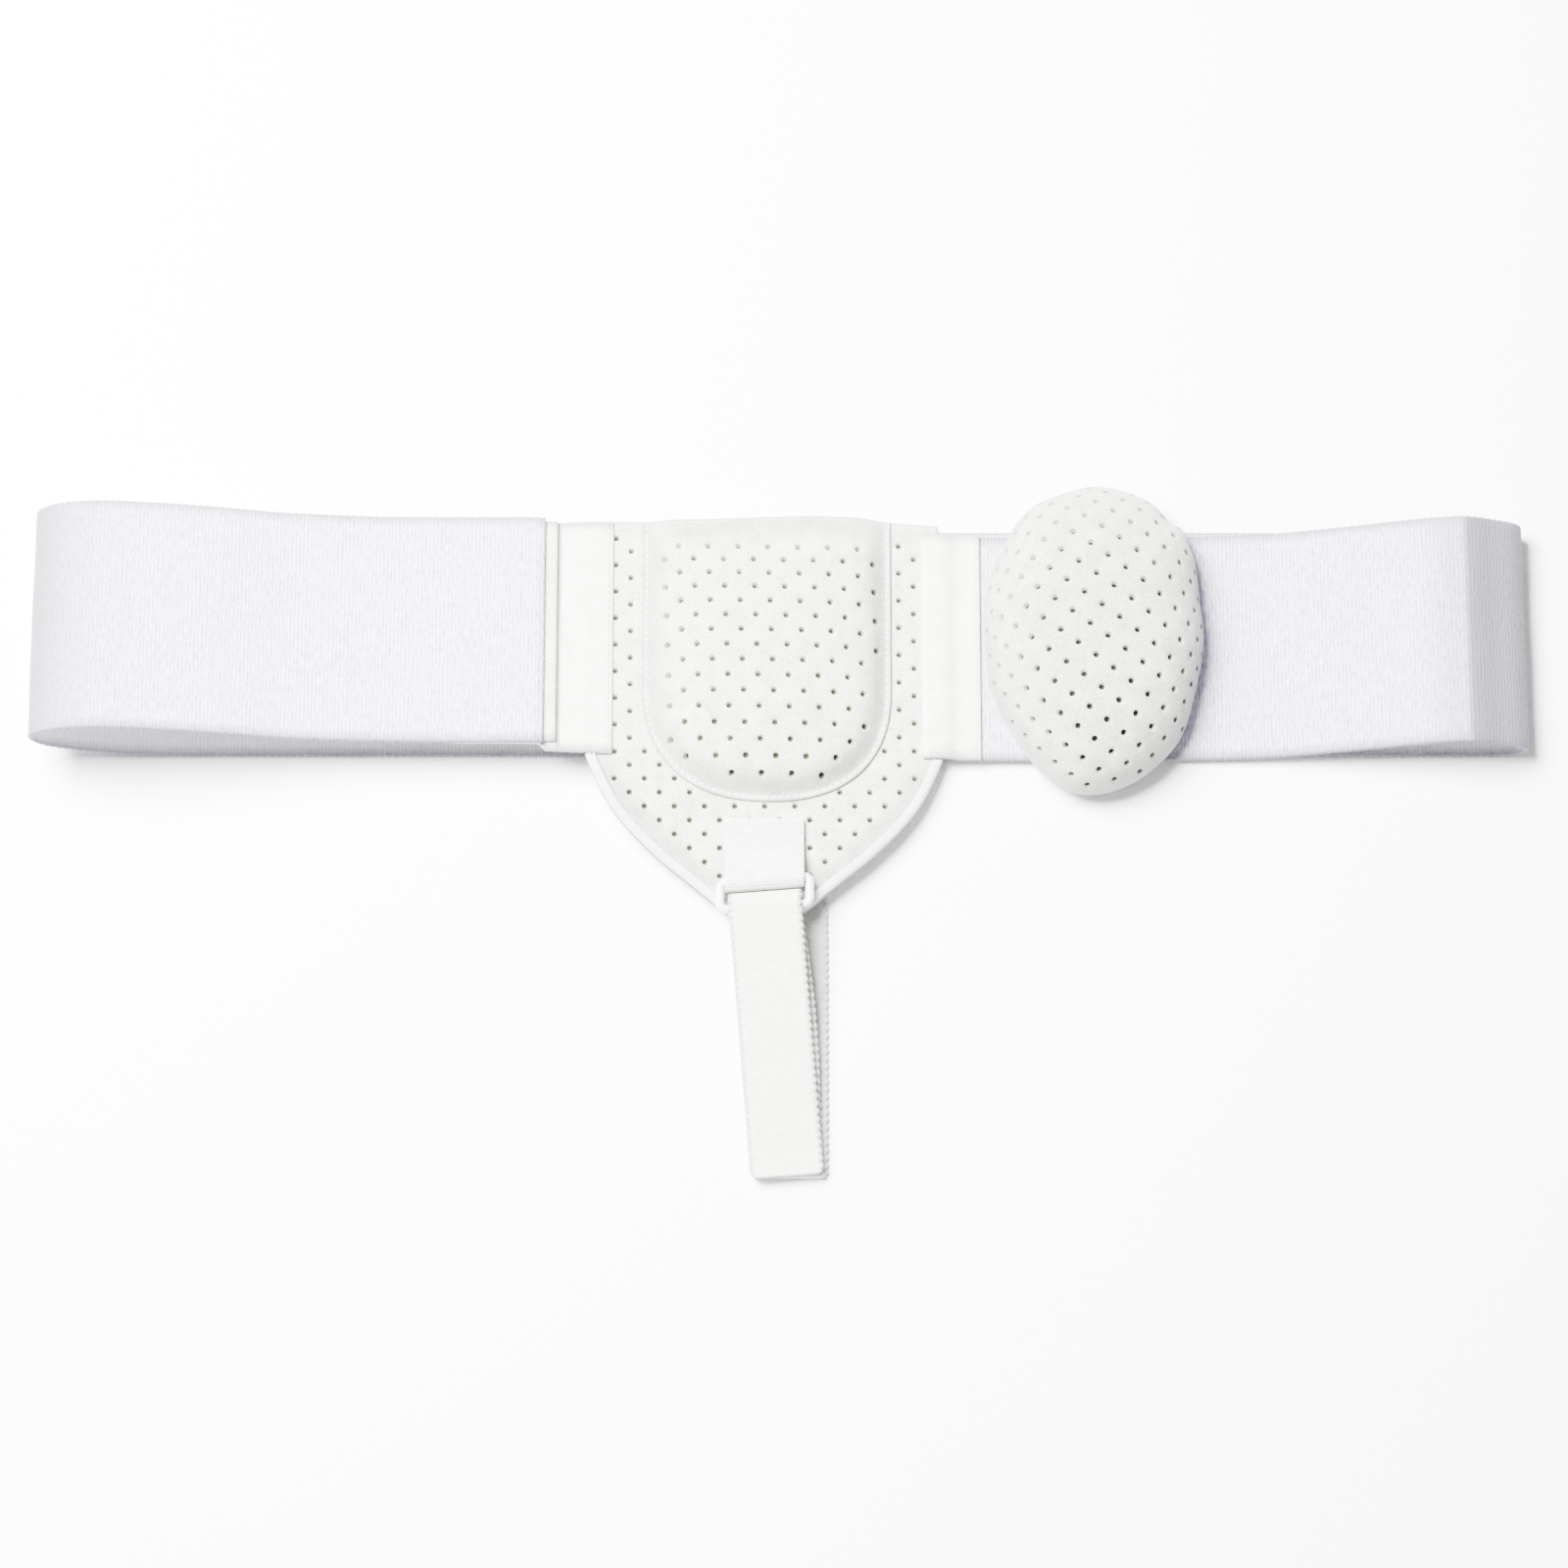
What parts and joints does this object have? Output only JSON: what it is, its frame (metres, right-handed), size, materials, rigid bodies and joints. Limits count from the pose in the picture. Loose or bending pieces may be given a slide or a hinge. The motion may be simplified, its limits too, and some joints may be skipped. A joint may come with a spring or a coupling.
{
  "type": "inguinal hernia belt",
  "caption": "Elastic waist belt lying flattened, with a perforated padded front shield, an egg-shaped pressure pad and a webbing leg strap on a plastic ring.",
  "frame": {"origin": "on the table, in the middle of the flat face of the back run that the belt lies on", "axes": "+X along the belt towards the compression pad, +Y up the wearer's body, +Z away from the table, out of the front"},
  "size_m": [0.507, 0.2401, 0.038],
  "materials": {
    "elastic_web": "ribbed elastic weave, matt",
    "hook_strip": "nylon hooks, slight sheen",
    "tab_fabric": "napped loop fabric, matt",
    "perforated_cover": "foam-backed fabric punched with round holes, matt",
    "edge_tape": "folded woven tape",
    "ring_plastic": "moulded, semi-gloss",
    "strap_web": "elastic webbing with picot edges, matt"
  },
  "bodies": {
    "root": {"waist_belt": "elastic_web", "belt_end_hook": "hook_strip", "left_tab": "tab_fabric", "right_tab": "tab_fabric", "front_panel": "perforated_cover", "panel_binding": "edge_tape", "pocket_pad": "perforated_cover", "compression_pad": "perforated_cover", "strap_keeper": "tab_fabric", "strap_ring": "ring_plastic", "leg_strap": "strap_web"}
  },
  "joints": []
}
